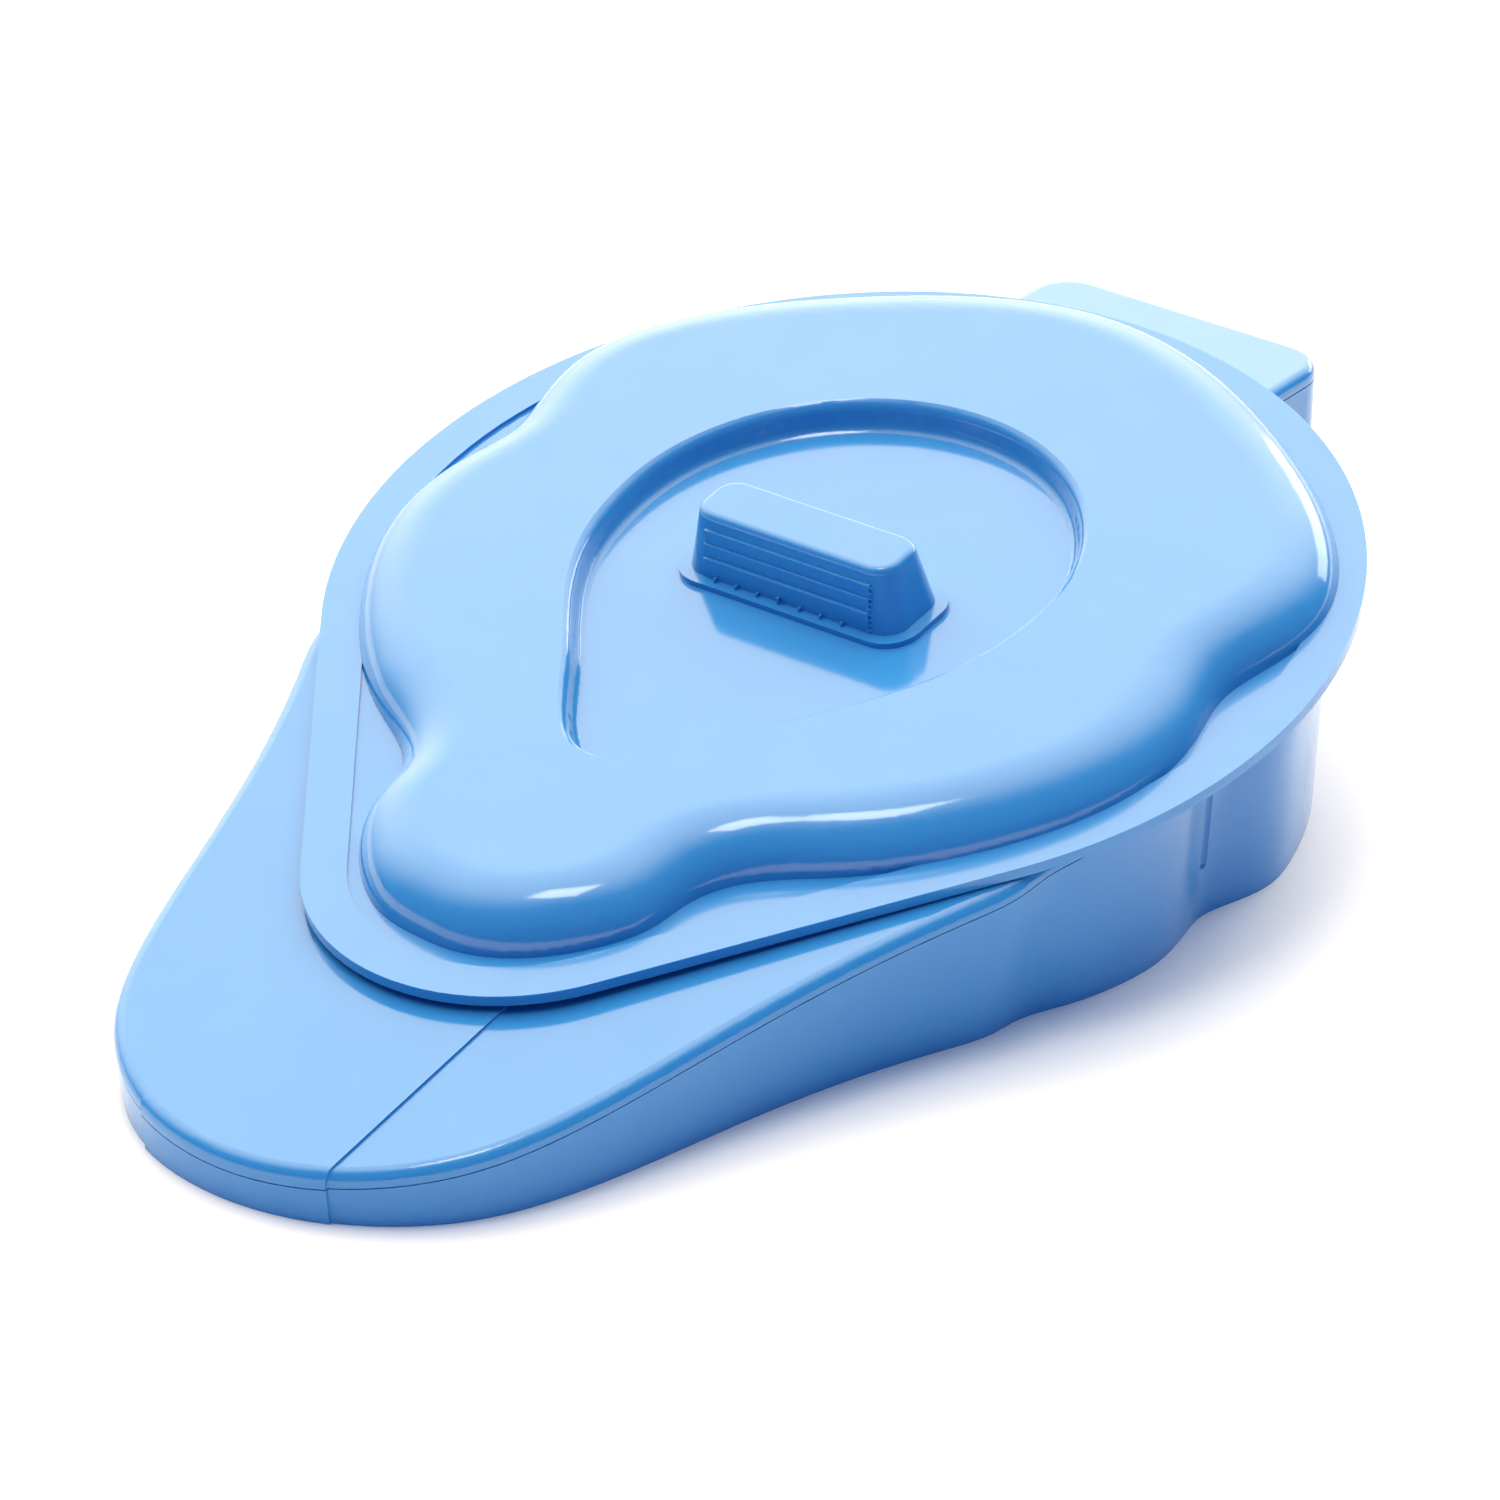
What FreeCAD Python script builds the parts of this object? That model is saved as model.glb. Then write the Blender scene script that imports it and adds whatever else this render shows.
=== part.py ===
import FreeCAD, Part
import math
import os
import Sketcher

# Slipper bedpan with a lift-off lid: a welded two-shell pan, a domed lid and the lid's knob.
# +Z is up and +Y points from the thin front edge to the handle. Lengths are in mm.

DIMENSIONS = [
    ("lid_width", 279.0),
    ("pan_length", 427.0),
    ("wall", 2.5),
    ("floor_wall", 3.0),
    ("rim_height", 63.0),
    ("deck_slope", 0.197),
    ("rim_slope", 0.176),
    ("knee_reach", 80.0),
    ("knee_ease", 30.0),
    ("loft_height", 90.0),
    ("seam_depth", 4.5),
    ("seam_gap", 0.35),
    ("tongue_wall", 1.4),
    ("tongue_depth", 3.5),
    ("tongue_clearance", 0.05),
    ("deck_fillet", 3.5),
    ("nose_height", 11.0),
    ("panel_width", 59.0),
    ("panel_proud", 0.7),
    ("panel_reach", 150.0),
    ("flute_radius", 2.2),
    ("flute_sink", 1.1),
    ("flute_low", 17.0),
    ("flute_place", 4.0),
    ("handle_width", 92.6),
    ("handle_top", 82.5),
    ("handle_skirt", 34.0),
    ("handle_corner", 13.0),
    ("handle_fillet", 3.0),
    ("opening_radius", 98.0),
    ("opening_front_radius", 27.0),
    ("opening_front_reach", 111.0),
    ("splash_depth", 20.0),
    ("lid_gap", 0.3),
    ("lid_wall", 1.8),
    ("lid_lip", 3.0),
    ("lid_lip_wall", 2.0),
    ("lid_front_radius", 58.0),
    ("lid_front_reach", 136.5),
    ("lid_band", 12.0),
    ("lid_step", 1.0),
    ("dome_height", 13.0),
    ("recess_floor", 5.2),
    ("knob_length", 70.0),
    ("knob_width", 24.0),
    ("knob_height", 20.0),
    ("knob_reach", 12.0),
    ("knob_wall", 2.0),
    ("knob_draft", 9.0),
    ("knob_corner", 7.0),
    ("knob_crown", 2.2),
    ("foot_rim", 3.2),
    ("foot_height", 1.6),
    ("foot_corner", 10.0),
    ("ledge_span", 54.0),
    ("ledge_pitch", 4.0),
    ("ledge_depth", 1.1),
    ("ledge_top", 15.6),
    ("peg_radius", 2.5),
    ("peg_spacing", 36.0),
    ("post_radius", 4.0),
    ("peg_head_radius", 4.2),
    ("peg_head_height", 1.4),
]

# Outlines are drawn on one side only, in plan units: 1 is half the lid's width across the pan
# and 1 / PLAN_LENGTH of the pan's length along it, so that arcs are round at the real sizes.
PLAN_LENGTH = 3.05
SIDE = [(0.563, -1.16), (0.658, -0.81)]
HAUNCH = [(0.722, -0.65), (0.756, -0.55), (0.762, -0.49), (0.805, -0.38), (0.835, -0.28), (0.849, -0.17)]
WAIST = [(0.828, -0.03), (0.816, 0.035), (0.835, 0.13), (0.851, 0.22)]
DOME_WAISTS = [
    (0.26, -1.14), (0.33, -1.02), (0.345, -0.93), (0.40, -0.84), (0.53, -0.75), (0.68, -0.62),
    (0.80, -0.46), (0.875, -0.27), (0.872, -0.09), (0.846, 0.04), (0.872, 0.18), (0.88, 0.32),
    (0.82, 0.47), (0.70, 0.61), (0.515, 0.75), (0.27, 0.88),
]
RECESS_SIDE = [(0.12, -0.69), (0.235, -0.53), (0.345, -0.38), (0.43, -0.22)]

# How far the pan's wall leans out per mm of height, against the place along the plan.
LEANS = [(-1.85, 0.10), (-1.34, 0.15), (-1.00, 0.22), (-0.50, 0.21), (-0.25, 0.12), (0.0, 0.05), (0.97, 0.02)]

FAR = 400.0

doc = FreeCAD.newDocument("bedpan")
sheet = doc.addObject("Spreadsheet::Sheet", "Dimensions")
for row, (alias, value) in enumerate(DIMENSIONS, start=1):
    sheet.set(f"A{row}", alias)
    sheet.set(f"B{row}", str(value))
    sheet.setAlias(f"B{row}", alias)
doc.recompute()


def size(alias):
    return float(sheet.get(alias))


def units():
    return size("lid_width") / 2, size("pan_length") / PLAN_LENGTH


def tilt_stretch():
    """Length of the lid's plane for each mm of plan length."""
    return math.hypot(1.0, size("rim_slope"))


def interpolated(table, at):
    for (x0, v0), (x1, v1) in zip(table, table[1:]):
        if at <= x1:
            return v0 + (v1 - v0) * max(at - x0, 0.0) / (x1 - x0)
    return table[-1][1]


def arc(centre_y, radius, start, stop, count):
    """Points of a round stretch about a centre on the pan's centre line, in plan units."""
    angles = [math.radians(start + (stop - start) * i / (count - 1)) for i in range(count)]
    return [(radius * math.cos(a), centre_y + radius * math.sin(a)) for a in angles]


def mirrored(half):
    """Close a half outline whose ends are on the centre line."""
    return half + [(-x, y) for x, y in reversed(half[1:-1])]


def pan_plan():
    nose = arc(-1.347, 0.5, -90, -17, 5)
    rear = arc(0.105, 0.86, 16, 90, 6)
    return mirrored(nose + SIDE + HAUNCH + WAIST + rear)


def dome_plan():
    return mirrored([(0.0, -1.257), (0.13, -1.235)] + DOME_WAISTS + [(0.0, 0.935)])


def recess_plan():
    return mirrored(arc(-0.625, 0.132, -90, -45, 3) + RECESS_SIDE + arc(-0.01, 0.467, -8, 90, 6))


def normals(points):
    """Outward unit normals of a closed anticlockwise outline."""
    out = []
    for (x0, y0), (x1, y1) in zip(points[-1:] + points[:-1], points[1:] + points[:1]):
        length = math.hypot(x1 - x0, y1 - y0)
        out.append(((y1 - y0) / length, (x0 - x1) / length))
    return out


def curve_at(plan, z, growth, stretch=1.0):
    """Closed smooth curve at height z; growth(y) is how far it stands out from the plan."""
    across, along = units()
    points = [(x * across, y * along * stretch) for x, y in plan]
    grown = []
    for (x, y), (nx, ny), (_, share) in zip(points, normals(points), plan):
        out = growth(share)
        grown.append(FreeCAD.Vector(x + nx * out, y + ny * out, z))
    curve = Part.BSplineCurve()
    curve.interpolate(grown, PeriodicFlag=True)
    return Part.Wire(curve.toShape())


def pan_body(inset, bottom):
    """The pan's outer form, moved in by inset, as one leaning wall from bottom up."""
    wires = []
    for z in (bottom, size("loft_height")):
        wires.append(curve_at(pan_plan(), z, lambda y, z=z: interpolated(LEANS, y) * z - inset))
    return Part.makeLoft(wires, True, True)


def layered(plan, layers):
    """Soft-sided form through (outward growth, height) layers of one outline."""
    stretch = tilt_stretch()
    wires = [curve_at(plan, z, lambda y, out=out: out, stretch) for out, z in layers]
    return Part.makeLoft(wires, True, False)


def teardrop(radius, front_radius, front_reach, z):
    """Two circles on the centre line joined by their tangents."""
    lean = math.asin((radius - front_radius) / front_reach)
    cos, sin = math.cos(lean), math.sin(lean)
    rear = [FreeCAD.Vector(side * radius * cos, -radius * sin, z) for side in (1, -1)]
    nose = [FreeCAD.Vector(s * front_radius * cos, -front_reach - front_radius * sin, z) for s in (-1, 1)]
    return Part.Wire(
        [
            Part.Arc(rear[0], FreeCAD.Vector(0, radius, z), rear[1]).toShape(),
            Part.makeLine(rear[1], nose[0]),
            Part.Arc(nose[0], FreeCAD.Vector(0, -front_reach - front_radius, z), nose[1]).toShape(),
            Part.makeLine(nose[1], rear[0]),
        ]
    )


def upright(wire, height):
    return Part.Face(wire).extrude(FreeCAD.Vector(0, 0, height))


def below(edges):
    """Everything under an open side profile that runs from front to rear at x = -FAR."""
    first, last = edges[0].Vertexes[0].Point, edges[-1].Vertexes[-1].Point
    low_first = FreeCAD.Vector(-FAR, first.y, -FAR)
    low_last = FreeCAD.Vector(-FAR, last.y, -FAR)
    sides = [Part.makeLine(last, low_last), Part.makeLine(low_last, low_first)]
    wire = Part.Wire(edges + sides + [Part.makeLine(low_first, first)])
    return Part.Face(wire).extrude(FreeCAD.Vector(2 * FAR, 0, 0))


def rim_z(y):
    """Height of the straight rim line, which the lid lies along."""
    return size("rim_height") + size("rim_slope") * y


def deck_corners(drop):
    """Front end, knee and rear end of the deck's side profile, lowered by drop."""
    knee = -size("knee_reach")
    front_z = rim_z(knee) - size("deck_slope") * (FAR + knee)
    heights = [(-FAR, front_z), (knee, rim_z(knee)), (FAR, rim_z(FAR))]
    return [FreeCAD.Vector(-FAR, y, z - drop) for y, z in heights]


def under_deck(drop=0.0):
    """Room under the deck's surface, whose knee is a soft bend."""
    front, knee, rear = deck_corners(drop)
    lead = knee + (front - knee).normalize() * size("knee_ease")
    trail = knee + (rear - knee).normalize() * size("knee_ease")
    curve = Part.BSplineCurve()
    curve.buildFromPoles([front, (front + lead) / 2, lead, knee, trail, (trail + rear) / 2, rear])
    return below([curve.toShape()])


def under_seam(lift=0.0):
    """Room under the parting line, which runs below the deck's edge and level round the handle."""
    front, knee, rear = deck_corners(size("seam_depth") - lift)
    level = size("handle_top") - size("seam_depth") + lift
    meet = FreeCAD.Vector(-FAR, knee.y + (level - knee.z) / size("rim_slope"), level)
    end = FreeCAD.Vector(-FAR, rear.y, level)
    return below([Part.makeLine(front, knee), Part.makeLine(knee, meet), Part.makeLine(meet, end)])


def handle_reach():
    return size("pan_length") * (1 - 1.847 / PLAN_LENGTH)


def pan_shift():
    """Moves the pan so that its bounding box is centred on the origin."""
    nose = size("pan_length") - handle_reach() + size("panel_proud") + LEANS[0][1] * size("nose_height")
    return (nose - handle_reach()) / 2


def handle_block(inset, low, high):
    """Block with rounded rear corners, rooted in the rear wall where the rim is higher."""
    half = size("handle_width") / 2 - inset
    rear = handle_reach() - inset
    root = (size("handle_top") - size("rim_height")) / size("rim_slope") + 2
    box = Part.makeBox(2 * half, rear - root, high - low, FreeCAD.Vector(-half, root, low))
    posts = [e for e in box.Edges if e.BoundBox.YMin > rear - 0.01 and e.BoundBox.XLength < 0.01]
    return box.makeFillet(size("handle_corner") - inset, posts)


def nose_slab():
    """Room that holds the raised centre panel of the nose."""
    half = size("panel_width") / 2
    corner = FreeCAD.Vector(-half, -FAR, -FAR / 2)
    return Part.makeBox(2 * half, FAR - size("panel_reach"), FAR, corner)


def flute(side):
    """Upright round-ended groove in the middle of one waist."""
    radius, low = size("flute_radius"), size("flute_low")
    lean = interpolated(LEANS, 0.0)
    foot = interpolated([(y, x) for x, y in WAIST], size("flute_place") / units()[1]) * units()[0]
    out = radius - size("flute_sink") + foot + lean * low
    start = FreeCAD.Vector(side * out, size("flute_place"), low)
    rod = Part.makeCylinder(radius, FAR / 4, start, FreeCAD.Vector(side * lean, 0, 1))
    return rod.fuse(Part.makeSphere(radius, start))


def make_pan_tray():
    """Lower shell: floor, leaning outer wall with its waists, and the handle's open skirt."""
    wall, top = size("wall"), size("loft_height")
    skirt_foot = size("handle_top") - size("handle_skirt")
    outer = pan_body(0.0, 0.0).fuse(pan_body(-size("panel_proud"), 0.0).common(nose_slab()))
    outer = outer.cut(flute(-1)).cut(flute(1))
    skirt = handle_block(0.0, skirt_foot, top).cut(handle_block(wall, skirt_foot - 1, top + 1))
    room = pan_body(wall, size("floor_wall"))
    return outer.fuse(skirt).common(under_seam()).cut(room)


def make_seat_deck():
    """Upper shell: deck, rim and handle top, with a tongue inside the tray and a splash lip."""
    wall = size("wall")
    inset = wall + size("tongue_clearance")
    inner = inset + size("tongue_wall")
    level = size("handle_top")
    skin = deck_skin(0.0).fuse(deck_skin(size("panel_proud")).common(nose_slab()))
    cap = handle_block(0.0, level / 2, level)
    cap = cap.makeFillet(size("handle_fillet"), [e for e in cap.Edges if is_cap_edge(e)])
    sleeve = handle_block(inset, 0.0, level).cut(pan_body(-size("tongue_clearance"), 0.0))
    outside = under_seam(size("seam_gap")).cut(pan_body(inset, 0.0)).cut(sleeve)
    shell = skin.fuse(cap).cut(outside).cut(under_seam(-size("tongue_depth")))
    shell = shell.cut(pan_body(inner, 0.0).common(under_deck(wall)))
    shell = shell.cut(handle_block(inner, 0.0, level - wall).cut(pan_body(wall / 2, 0.0)))
    radius, front, reach = size("opening_radius"), size("opening_front_radius"), size("opening_front_reach")
    tube = upright(teardrop(radius + wall, front + wall, reach, 0.0), FAR / 2)
    lip = tube.common(under_deck(1.0)).cut(under_deck(wall + size("splash_depth")))
    hole = upright(teardrop(radius, front, reach, -1.0), FAR)
    return shell.fuse(lip).cut(hole)


def deck_skin(proud):
    """The pan's form up to the deck, its edge rounded, standing out by proud."""
    skin = pan_body(-proud, 0.0).common(under_deck(-proud))
    return skin.makeFillet(size("deck_fillet"), [e for e in skin.Edges if is_deck_edge(e)])


def is_deck_edge(edge):
    """The long edge round the deck, clear of the floor's outline."""
    return edge.BoundBox.YLength > 10 and edge.BoundBox.ZMin > 5


def is_cap_edge(edge):
    """Top edges of the handle that end up outside the bowl."""
    return edge.BoundBox.ZMin > size("handle_top") - 0.01 and edge.BoundBox.YMax > handle_reach() - 20


def flange_slab(inset, low, high):
    radius, front = size("lid_width") / 2 - inset, size("lid_front_radius") - inset
    reach = size("lid_front_reach") * tilt_stretch()
    return upright(teardrop(radius, front, reach, low), high - low)


def make_lid_panel():
    """Lid: flange with its turned-down lip, waisted dome, sunk teardrop recess, peg holes."""
    wall, top, floor = size("lid_wall"), size("dome_height"), size("recess_floor")
    sink, lip, band = -size("lid_step"), size("lid_lip"), size("lid_band")
    plate = flange_slab(0.0, -lip, 0.0).cut(flange_slab(band, sink, 1.0))
    plate = plate.cut(flange_slab(size("lid_lip_wall"), -lip - 1, -wall))
    plate = plate.fuse(flange_slab(band - 1.0, sink - wall, sink))
    skin = [(0.0, sink - 0.5), (-1.0, 2.6), (-3.6, 7.0), (-8.0, 10.6), (-13.5, top - 0.4), (-19.0, top)]
    dome = layered(dome_plan(), skin)
    room = layered(dome_plan(), [(out - wall, z - wall) for out, z in skin])
    side = [(-3.4, floor), (-1.6, floor + 1.4), (-0.8, top - 3.5), (0.0, top - 1.4), (1.8, top), (3.6, top + 1.2)]
    well = layered(recess_plan(), side)
    cup = layered(recess_plan(), [(out + wall * 0.8, z - wall) for out, z in side[:-1]])
    lid = plate.fuse(dome).cut(room).fuse(cup).cut(well)
    for side in (-1, 1):
        spot = FreeCAD.Vector(side * size("peg_spacing") / 2, -size("knob_reach") * tilt_stretch(), 0)
        lid = lid.cut(Part.makeCylinder(size("peg_radius"), floor + 1, spot))
    return lid


def plane(body, role):
    """One of the body's own origin planes."""
    return next(f for f in body.Origin.OriginFeatures if f.Role == role)


def new_sketch(body, name, role):
    sketch = body.newObject("Sketcher::SketchObject", name)
    sketch.AttachmentSupport = [(plane(body, role), "")]
    sketch.MapMode = "FlatFace"
    return sketch


def rectangle_sketch(body, name, length, width):
    """Rectangle centred on the sketch's origin, its two sizes bound to expressions."""
    sketch = new_sketch(body, name, "XY_Plane")
    corners = [FreeCAD.Vector(x, y, 0) for x, y in ((-20, -9), (20, -9), (20, 9), (-20, 9))]
    for first, last in zip(corners, corners[1:] + corners[:1]):
        sketch.addGeometry(Part.LineSegment(first, last), False)
    for line in range(4):
        sketch.addConstraint(Sketcher.Constraint("Coincident", line, 2, (line + 1) % 4, 1))
        kind = "Horizontal" if line % 2 == 0 else "Vertical"
        sketch.addConstraint(Sketcher.Constraint(kind, line))
    sketch.addConstraint(Sketcher.Constraint("Symmetric", 0, 1, 2, 1, -1, 1))
    across = sketch.addConstraint(Sketcher.Constraint("DistanceX", 0, 1, 0, 2, 40))
    along = sketch.addConstraint(Sketcher.Constraint("DistanceY", 1, 1, 1, 2, 18))
    sketch.setExpression(f"Constraints[{across}]", length)
    sketch.setExpression(f"Constraints[{along}]", width)
    return sketch


def circles_sketch(body, name, radius):
    """Two equal circles, one at each peg."""
    sketch = new_sketch(body, name, "XY_Plane")
    for index, side in enumerate((-1, 1)):
        centre = FreeCAD.Vector(side * 18, 0, 0)
        sketch.addGeometry(Part.Circle(centre, FreeCAD.Vector(0, 0, 1), 3), False)
        sketch.addConstraint(Sketcher.Constraint("PointOnObject", index, 3, -1))
        ends = (-1, 1, index, 3) if side > 0 else (index, 3, -1, 1)
        spot = sketch.addConstraint(Sketcher.Constraint("DistanceX", *ends, 18))
        sketch.setExpression(f"Constraints[{spot}]", "Dimensions.peg_spacing / 2")
        rule = sketch.addConstraint(Sketcher.Constraint("Radius", index, 3))
        sketch.setExpression(f"Constraints[{rule}]", radius)
    return sketch


def add_feature(body, kind, name, sketch, length, taper=None, reverse=False, midplane=False):
    """Pad or pocket from a sketch, its length and taper bound to expressions."""
    feature = body.newObject(kind, name)
    feature.Profile = sketch
    feature.Reversed = reverse
    if midplane:
        feature.SideType = "Symmetric"
    feature.setExpression("Length", length)
    if taper:
        feature.setExpression("TaperAngle", taper)
    doc.recompute()
    return feature


def add_fillet(body, name, base, picked, radius):
    """Round the base feature's edges that picked(edge) chooses."""
    names = [f"Edge{i}" for i, edge in enumerate(base.Shape.Edges, start=1) if picked(edge)]
    fillet = body.newObject("PartDesign::Fillet", name)
    fillet.Base = (base, names)
    fillet.setExpression("Radius", radius)
    doc.recompute()
    return fillet


def ledge_sketch(body):
    """Saw-tooth notches on both long faces: flat above, slanting out below."""
    sketch = new_sketch(body, "ledge_notches", "YZ_Plane")
    pitch, depth = size("ledge_pitch"), size("ledge_depth")
    taper = math.tan(math.radians(size("knob_draft")))
    for index in range(3):
        high = size("ledge_top") - index * pitch
        low = high - pitch
        for side in (-1, 1):
            face_high = size("knob_width") / 2 - high * taper
            face_low = size("knob_width") / 2 - low * taper
            corners = [(side * (face_high + 3), high), (side * (face_high - depth), high)]
            corners += [(side * (face_low + 0.05), low + 0.4), (side * (face_high + 3), low + 0.4)]
            points = [FreeCAD.Vector(y, z, 0) for y, z in corners]
            start = len(sketch.Geometry)
            for first, last in zip(points, points[1:] + points[:1]):
                sketch.addGeometry(Part.LineSegment(first, last), False)
            for line in range(4):
                joined = (start + line, 2, start + (line + 1) % 4, 1)
                sketch.addConstraint(Sketcher.Constraint("Coincident", *joined))
    return sketch


def is_post(edge):
    """Edges that climb the block's corners."""
    return edge.BoundBox.ZLength > 10


def is_crown(edge):
    return edge.BoundBox.ZMin > size("knob_height") - 0.01


def is_foot_post(edge):
    """The foot's upright edges, which stand outside the grip."""
    box = edge.BoundBox
    outside = abs(box.XMax) > size("knob_length") / 2 + 1
    return abs(box.ZLength - size("foot_height")) < 0.01 and outside


def build_lid_knob():
    """Hollow grip block with stepped finger ledges, a foot rim and two staked pegs."""
    body = doc.addObject("PartDesign::Body", "lid_knob")
    body.Label = "lid_knob"
    grip = rectangle_sketch(body, "grip_plan", "Dimensions.knob_length", "Dimensions.knob_width")
    tall = "Dimensions.knob_height"
    block = add_feature(body, "PartDesign::Pad", "grip", grip, tall, "-Dimensions.knob_draft * 1deg")
    block = add_fillet(body, "grip_corners", block, is_post, "Dimensions.knob_corner")
    block = add_fillet(body, "grip_crown", block, is_crown, "Dimensions.knob_crown")
    reach = ("Dimensions.knob_length + 2 * Dimensions.foot_rim", "Dimensions.knob_width + 2 * Dimensions.foot_rim")
    foot = rectangle_sketch(body, "foot_plan", *reach)
    block = add_feature(body, "PartDesign::Pad", "foot", foot, "Dimensions.foot_height")
    block = add_fillet(body, "foot_corners", block, is_foot_post, "Dimensions.foot_corner")
    ledges = ledge_sketch(body)
    add_feature(body, "PartDesign::Pocket", "ledges", ledges, "Dimensions.ledge_span", midplane=True)
    room = rectangle_sketch(
        body, "hollow_plan",
        "Dimensions.knob_length - 4 * Dimensions.knob_wall",
        "Dimensions.knob_width - 4 * Dimensions.knob_wall",
    )
    depth = "Dimensions.knob_height - Dimensions.knob_wall"
    add_feature(body, "PartDesign::Pocket", "hollow", room, depth, "-Dimensions.knob_draft * 1deg", True)
    posts = circles_sketch(body, "post_circles", "Dimensions.post_radius")
    add_feature(body, "PartDesign::Pad", "posts", posts, depth)
    pegs = circles_sketch(body, "peg_circles", "Dimensions.peg_radius")
    add_feature(body, "PartDesign::Pad", "pegs", pegs, "Dimensions.lid_wall", reverse=True)
    heads = circles_sketch(body, "head_circles", "Dimensions.peg_head_radius")
    heads.setExpression("AttachmentOffset.Base.z", "-Dimensions.lid_wall")
    add_feature(body, "PartDesign::Pad", "peg_heads", heads, "Dimensions.peg_head_height", reverse=True)
    return body


def lid_place(x, y, z):
    """A place in the lid's own frame, which lies along the rim, one gap above it."""
    turn = FreeCAD.Rotation(FreeCAD.Vector(1, 0, 0), math.degrees(math.atan(size("rim_slope"))))
    lift = size("rim_height") + (size("lid_lip") + size("lid_gap")) * tilt_stretch()
    frame = FreeCAD.Placement(FreeCAD.Vector(0, pan_shift(), lift), turn)
    return frame.multiply(FreeCAD.Placement(FreeCAD.Vector(x, y, z), FreeCAD.Rotation()))


def add_node(name, shape, placement):
    node = doc.addObject("Part::Feature", name)
    node.Label = name
    node.Shape = shape
    node.Placement = placement
    return node


pan_place = FreeCAD.Placement(FreeCAD.Vector(0, pan_shift(), 0), FreeCAD.Rotation())
knob = build_lid_knob()
knob.Placement = lid_place(0, -size("knob_reach") * tilt_stretch(), size("recess_floor"))
nodes = [
    add_node("pan_tray", make_pan_tray(), pan_place),
    add_node("seat_deck", make_seat_deck(), pan_place),
    add_node("lid_panel", make_lid_panel(), lid_place(0, 0, 0)),
    knob,
]
doc.recompute()

for item in doc.Objects:
    if "Invalid" in item.State or "Error" in item.State:
        raise ValueError(item.Label + " did not recompute")
for node in nodes:
    if node.Shape.isNull() or not node.Shape.isValid() or len(node.Shape.Solids) != 1:
        raise ValueError(node.Label + " is not one valid solid")

os.makedirs("parts", exist_ok=True)
for node in nodes:
    box = node.Shape.BoundBox
    print(node.Label, round(node.Shape.Volume), round(box.YMin, 1), round(box.YMax, 1), round(box.ZMax, 1))
    node.Shape.exportStep("parts/" + node.Label + ".step")
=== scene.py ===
import math

import bpy
from mathutils import Matrix, Vector


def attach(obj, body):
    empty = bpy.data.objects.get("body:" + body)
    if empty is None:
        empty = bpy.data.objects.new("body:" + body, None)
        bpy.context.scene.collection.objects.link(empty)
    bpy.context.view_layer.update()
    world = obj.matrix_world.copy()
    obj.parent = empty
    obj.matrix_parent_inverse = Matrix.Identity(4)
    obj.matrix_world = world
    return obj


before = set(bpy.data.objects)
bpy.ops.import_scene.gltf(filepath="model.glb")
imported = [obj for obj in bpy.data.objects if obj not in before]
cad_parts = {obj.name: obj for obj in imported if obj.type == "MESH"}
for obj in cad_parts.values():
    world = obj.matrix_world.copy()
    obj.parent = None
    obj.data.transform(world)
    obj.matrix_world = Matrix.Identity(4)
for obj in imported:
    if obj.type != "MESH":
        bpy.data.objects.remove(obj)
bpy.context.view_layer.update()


# The pan's lower shell: floor, leaning side wall with its waists and flutes, and the skirt of the
# rear handle. It is injection moulded in one shot from pigmented polypropylene, in a polished
# tool, so it is glossy, and light goes a millimetre or two into it.

class Amount:
    """A number that varies over a surface. Sums and products of amounts add their own nodes."""

    def __init__(self, nodes, socket):
        self.nodes = nodes
        self.socket = socket

    def joined(self, operation, first, second):
        made = self.nodes.node("ShaderNodeMath", {"operation": operation}, {0: first, 1: second})
        return Amount(self.nodes, made.outputs[0])

    def __add__(self, other):
        return self.joined("ADD", self, other)

    def __rsub__(self, other):
        return self.joined("SUBTRACT", other, self)

    def __mul__(self, other):
        return self.joined("MULTIPLY", self, other)


class Nodes:
    """A node tree, built up node by node."""

    def __init__(self, tree):
        self.tree = tree

    def node(self, kind, settings=None, sockets=None):
        """Add a node: settings are its own properties, sockets its values or links."""
        made = self.tree.nodes.new(kind)
        for name, value in (settings or {}).items():
            setattr(made, name, value)
        for name, value in (sockets or {}).items():
            self.feed(made.inputs[name], value)
        return made

    def feed(self, socket, value):
        """Link a socket to another one, or give it a constant."""
        if isinstance(value, Amount):
            value = value.socket
        if isinstance(value, bpy.types.NodeSocket):
            self.tree.links.new(value, socket)
        else:
            socket.default_value = value

    def between(self, amount, first, second):
        """A colour between two colours."""
        sockets = {0: amount, 6: first, 7: second}
        return self.node("ShaderNodeMix", {"data_type": "RGBA"}, sockets).outputs[2]


class Finish(Nodes):
    """One material with its shader."""

    def __init__(self, name, **constants):
        self.material = bpy.data.materials.new(name)
        self.material.use_nodes = True
        super().__init__(self.material.node_tree)
        self.shader = self.tree.nodes["Principled BSDF"]
        self.place = self.node("ShaderNodeTexCoord").outputs["Object"]
        for socket, value in constants.items():
            self.shader.inputs[socket.replace("_", " ")].default_value = value

    def noise(self, scale, detail=2.0):
        """Noise from 0 to 1, with scale blotches to the metre."""
        sockets = {"Vector": self.place, "Scale": scale, "Detail": detail}
        return Amount(self, self.node("ShaderNodeTexNoise", None, sockets).outputs["Fac"])

    def bump(self, height, depth, under=None):
        """Relief of a depth in metres, on top of the relief under it."""
        sockets = {"Height": height, "Distance": depth, "Strength": 1.0}
        if under:
            sockets["Normal"] = under
        return self.node("ShaderNodeBump", None, sockets).outputs["Normal"]


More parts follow.
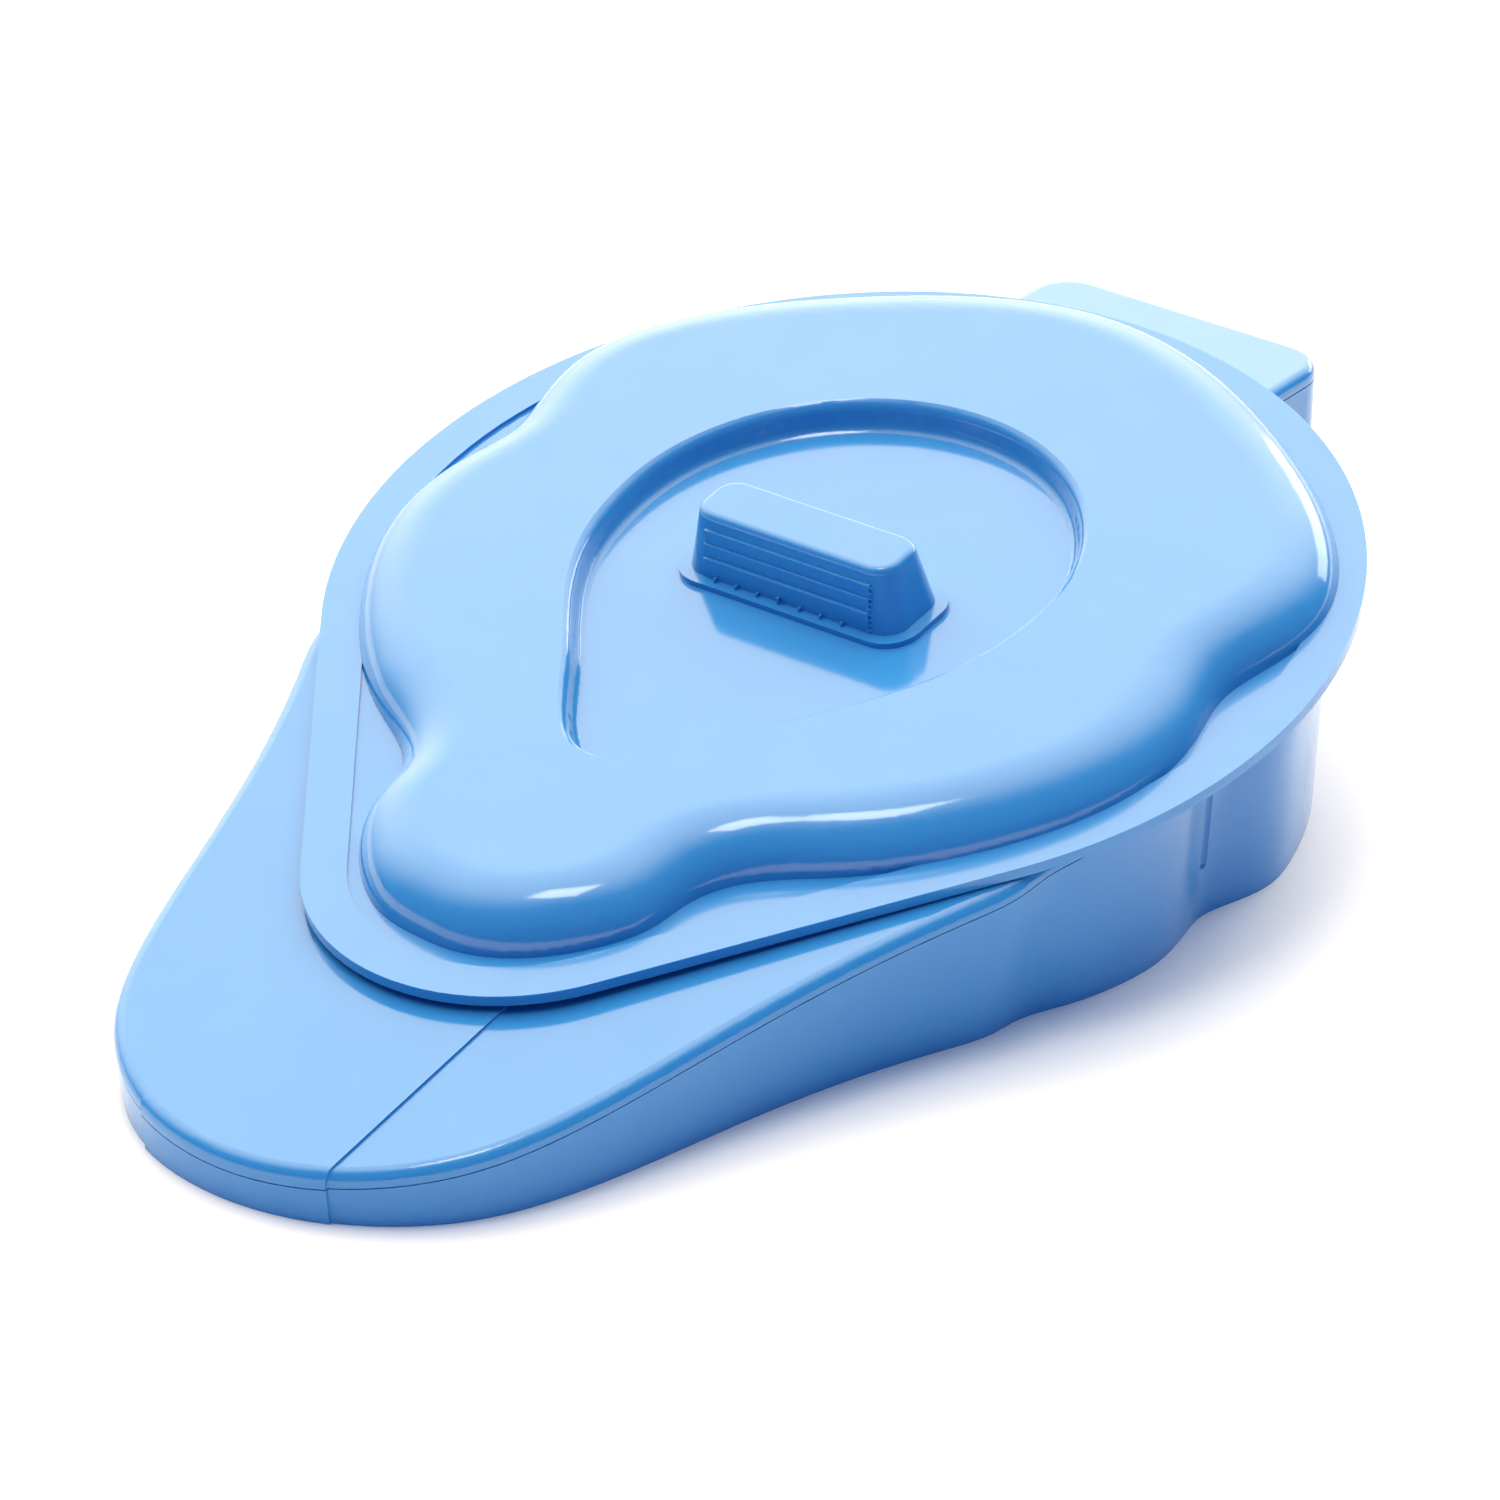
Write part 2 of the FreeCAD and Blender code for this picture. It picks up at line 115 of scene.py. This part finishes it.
def polypropylene(name, light, deep, roughness):
    """Glossy pigmented polypropylene between two blues, with sink waves and orange peel."""
    finish = Finish(
        name,
        IOR=1.49,
        Subsurface_Weight=0.12,
        Subsurface_Radius=(0.5, 0.8, 1.0),
        Subsurface_Scale=0.003,
        Coat_Roughness=0.03,
    )
    inputs = finish.shader.inputs
    cloud = finish.noise(9.0, 3.0)
    streak = finish.noise(60.0, 4.0)
    haze = finish.noise(35.0, 3.0)
    finish.feed(inputs["Base Color"], finish.between(cloud * 0.8 + streak * 0.2, light, deep))
    finish.feed(inputs["Roughness"], haze * 0.06 + roughness)
    finish.feed(inputs["Coat Weight"], 0.35 - streak * 0.15)

    wave_depth = 0.00025
    peel_depth = 0.000012
    waves = finish.bump(finish.noise(14.0, 1.0), wave_depth)
    peel = finish.bump(finish.noise(700.0, 2.0), peel_depth, waves)
    finish.feed(inputs["Normal"], peel)
    return finish.material


def dressed(node, material):
    """Give a moulded part its finish."""
    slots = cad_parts[node].data.materials
    slots.clear()
    slots.append(material)


pan_blue = polypropylene(
    "pan_polypropylene",
    light=(0.040, 0.258, 0.610, 1),
    deep=(0.032, 0.240, 0.590, 1),
    roughness=0.11,
)
dressed("pan_tray", pan_blue)


# The upper shell: sloping deck, rim and handle top, welded on to the lower shell a little under
# the deck's edge. The same polypropylene from a second tool of the set.
dressed("seat_deck", pan_blue)


# The lid: one thin moulding with a stepped flange, a waisted dome and a sunk drop-shaped recess.
# It lies loose on the rim. It is the same plastic in a thinner wall.
lid_blue = polypropylene(
    "lid_polypropylene",
    light=(0.046, 0.266, 0.620, 1),
    deep=(0.038, 0.248, 0.600, 1),
    roughness=0.09,
)
dressed("lid_panel", lid_blue)


# The knob: a hollow grip block on a thin foot, moulded by itself and staked through the recess
# floor with two pegs. Both long faces have three stepped finger ledges, and the front one also
# has a row of small moulded ticks and a serrated end. The same plastic.

def chunk(length, width, height, x=0.0, y=0.0, z=0.0):
    """A block that stands on height z, in the knob's own frame."""
    middle = (x, y, z + height / 2)
    bpy.ops.object.select_all(action="DESELECT")
    bpy.ops.mesh.primitive_cube_add(size=1, location=middle, scale=(length, width, height))
    bpy.ops.object.transform_apply(location=True, rotation=True, scale=True)
    return bpy.context.object


def tooth(x, y, z):
    """A four-sided point that sticks out towards +X."""
    bpy.ops.object.select_all(action="DESELECT")
    bpy.ops.mesh.primitive_cone_add(
        vertices=4,
        radius1=0.0008,
        depth=0.0016,
        location=(x, y, z),
        rotation=(0, math.pi / 2, 0),
    )
    bpy.ops.object.transform_apply(location=True, rotation=True, scale=True)
    return bpy.context.object


def rounded_above(piece, level, radius):
    """Round the edges whose two ends are both above a level."""
    mesh = piece.data
    for elements in (mesh.polygons, mesh.edges, mesh.vertices):
        for element in elements:
            element.select = False
    for edge in mesh.edges:
        edge.select = min(mesh.vertices[v].co.z for v in edge.vertices) > level
    bpy.ops.object.mode_set(mode="EDIT")
    bpy.ops.mesh.select_mode(type="EDGE")
    bpy.ops.mesh.bevel(offset=radius, offset_type="OFFSET", segments=2, profile=0.5, clamp_overlap=True)
    bpy.ops.object.mode_set(mode="OBJECT")


def merged(base, *others):
    """Fuse other closed pieces with the base."""
    for other in others:
        fuse = base.modifiers.new("fuse", "BOOLEAN")
        fuse.operation = "UNION"
        fuse.solver = "EXACT"
        fuse.object = other
        bpy.context.view_layer.objects.active = base
        bpy.ops.object.modifier_apply(modifier=fuse.name)
        bpy.data.objects.remove(other)


knob_draft = math.tan(math.radians(9))
knob_half_width = 0.012

# Each ledge is a slab standing a little prouder than the drafted wall just over its foot.
ledge_length = 0.0536
ledge_proud = 0.00012
ledge_round = 0.00012
just_over = 0.0004
ledge_tops = (0.0156, 0.0116, 0.0076)
ledge_feet = (0.0112, 0.0072, 0.0010)
ledges = []
for top, low in zip(ledge_tops, ledge_feet):
    reach = knob_half_width - (low + just_over) * knob_draft + ledge_proud
    ledge = chunk(ledge_length, 2 * reach, top - low, z=low)
    rounded_above(ledge, top - 0.0001, ledge_round)
    ledges.append(ledge)

# Seven ticks stand on the foot and seven on the top ledge. The middle one goes on over the lower ledges.
tick_pitch = 0.0069
tick_shift = -0.002
ticks = []
for step in range(-3, 4):
    across = step * tick_pitch + tick_shift
    tall = 0.0030 if step == 0 else 0.0022
    ticks.append(chunk(0.0006, 0.0011, tall, x=across, y=-0.0127, z=0.0006))
    ticks.append(chunk(0.0004, 0.0006, 0.0005, x=across, y=-0.0098, z=0.0153))
for top in ledge_tops[1:]:
    front = -0.0124 + top * knob_draft + 0.0007
    ticks.append(chunk(0.0004, 0.0006, 0.0008, x=tick_shift, y=front, z=top - 0.0002))

# The serrated end is a row of small points up the right end of the front face.
tooth_pitch = 0.00155
teeth = []
for step in range(9):
    height = 0.0016 + step * tooth_pitch
    teeth.append(tooth(0.0272, -0.0119 + height * knob_draft, height + 0.0007))

# The ledges are made level and upright, then set on the sloping recess floor.
ledge_face, *others = ledges + ticks + teeth
merged(ledge_face, *others)
knob_seat = Vector((0, 0.03308, 0.06936))
recess_slope = math.atan(0.176)
ledge_face.matrix_world = Matrix.Translation(knob_seat) @ Matrix.Rotation(recess_slope, 4, "X")
bpy.ops.object.select_all(action="DESELECT")
ledge_face.select_set(True)
bpy.context.view_layer.objects.active = ledge_face
bpy.ops.object.transform_apply(location=True, rotation=True, scale=True)
bpy.ops.object.shade_smooth_by_angle(angle=math.radians(35))
ledge_face.name = "knob_ledges"
knob_blue = polypropylene(
    "knob_polypropylene",
    light=(0.042, 0.260, 0.612, 1),
    deep=(0.034, 0.242, 0.592, 1),
    roughness=0.12,
)
ledge_face.data.materials.append(knob_blue)
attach(ledge_face, "lid")
dressed("lid_knob", knob_blue)


# The floor: a plain pale sheet of studio board, far larger than the pan.
bpy.ops.object.select_all(action="DESELECT")
bpy.ops.mesh.primitive_plane_add(size=14, location=(0, 0, 0))
floor = bpy.context.object
floor.name = "studio_floor"
board = Finish("studio_board", Roughness=0.9)
board_shade = board.between(board.noise(1.5), (0.93, 0.94, 0.95, 1), (0.90, 0.91, 0.93, 1))
board.feed(board.shader.inputs["Base Color"], board_shade)
floor.data.materials.append(board.material)


# The light: a room that glows most high at the back left, like one big diffuser, and fades
# softly to a dim blue towards the front. A small overhead box and a low one behind give the
# short bright glints on the lid's shoulders.
glow_from = Vector((-0.46, 0.44, 0.77)).normalized()
dim_blue = (0.07, 0.19, 0.42, 1)
warm_glow = (4.0, 3.45, 2.65, 1)
world = bpy.data.worlds.new("studio_room")
bpy.context.scene.world = world
world.use_nodes = True
room = Nodes(world.node_tree)
outlook = room.node("ShaderNodeTexCoord").outputs["Generated"]
facing = room.node("ShaderNodeVectorMath", {"operation": "DOT_PRODUCT"}, {0: outlook, 1: glow_from})
fade_range = {"Value": facing.outputs["Value"], "From Min": 0.30, "From Max": 0.97}
fade = room.node("ShaderNodeMapRange", {"interpolation_type": "SMOOTHSTEP"}, fade_range)
glow = room.between(fade.outputs["Result"], dim_blue, warm_glow)
room.feed(room.tree.nodes["Background"].inputs["Color"], glow)


def soft_box(name, place, width, height, power):
    """A rectangular area light that points at the middle of the pan."""
    lamp = bpy.data.lights.new(name, "AREA")
    lamp.shape = "RECTANGLE"
    lamp.size = width
    lamp.size_y = height
    lamp.energy = power
    stand = bpy.data.objects.new(name, lamp)
    stand.location = place
    aim = Vector((0, 0, 0.08)) - stand.location
    stand.rotation_euler = aim.to_track_quat("-Z", "Y").to_euler()
    bpy.context.scene.collection.objects.link(stand)


soft_box("overhead_box", (0.05, -0.30, 1.90), width=0.5, height=0.4, power=6)
soft_box("low_back_box", (0.10, 2.20, 0.55), width=1.3, height=0.6, power=9)


# The camera: a long lens from the front right, a little above, turned slightly.
azimuth = math.radians(36.085)
elevation = math.radians(28.228)
roll = math.radians(0.795)
slant = math.cos(elevation)
back = Vector((math.sin(azimuth) * slant, -math.cos(azimuth) * slant, math.sin(elevation)))
level = Vector((math.cos(azimuth), math.sin(azimuth), 0))
upright = back.cross(level)
right = level * math.cos(roll) + upright * math.sin(roll)
up = upright * math.cos(roll) - level * math.sin(roll)
lens = bpy.data.cameras.new("studio_camera")
lens.sensor_width = 36
lens.lens = 184.48
camera = bpy.data.objects.new("studio_camera", lens)
camera_place = Matrix.Translation((1.0543, -1.4409, 0.9928))
camera_turn = Matrix((right, up, back)).transposed().to_4x4()
camera.matrix_world = camera_place @ camera_turn
bpy.context.scene.collection.objects.link(camera)
bpy.context.scene.camera = camera
bpy.context.scene.view_settings.view_transform = "Standard"
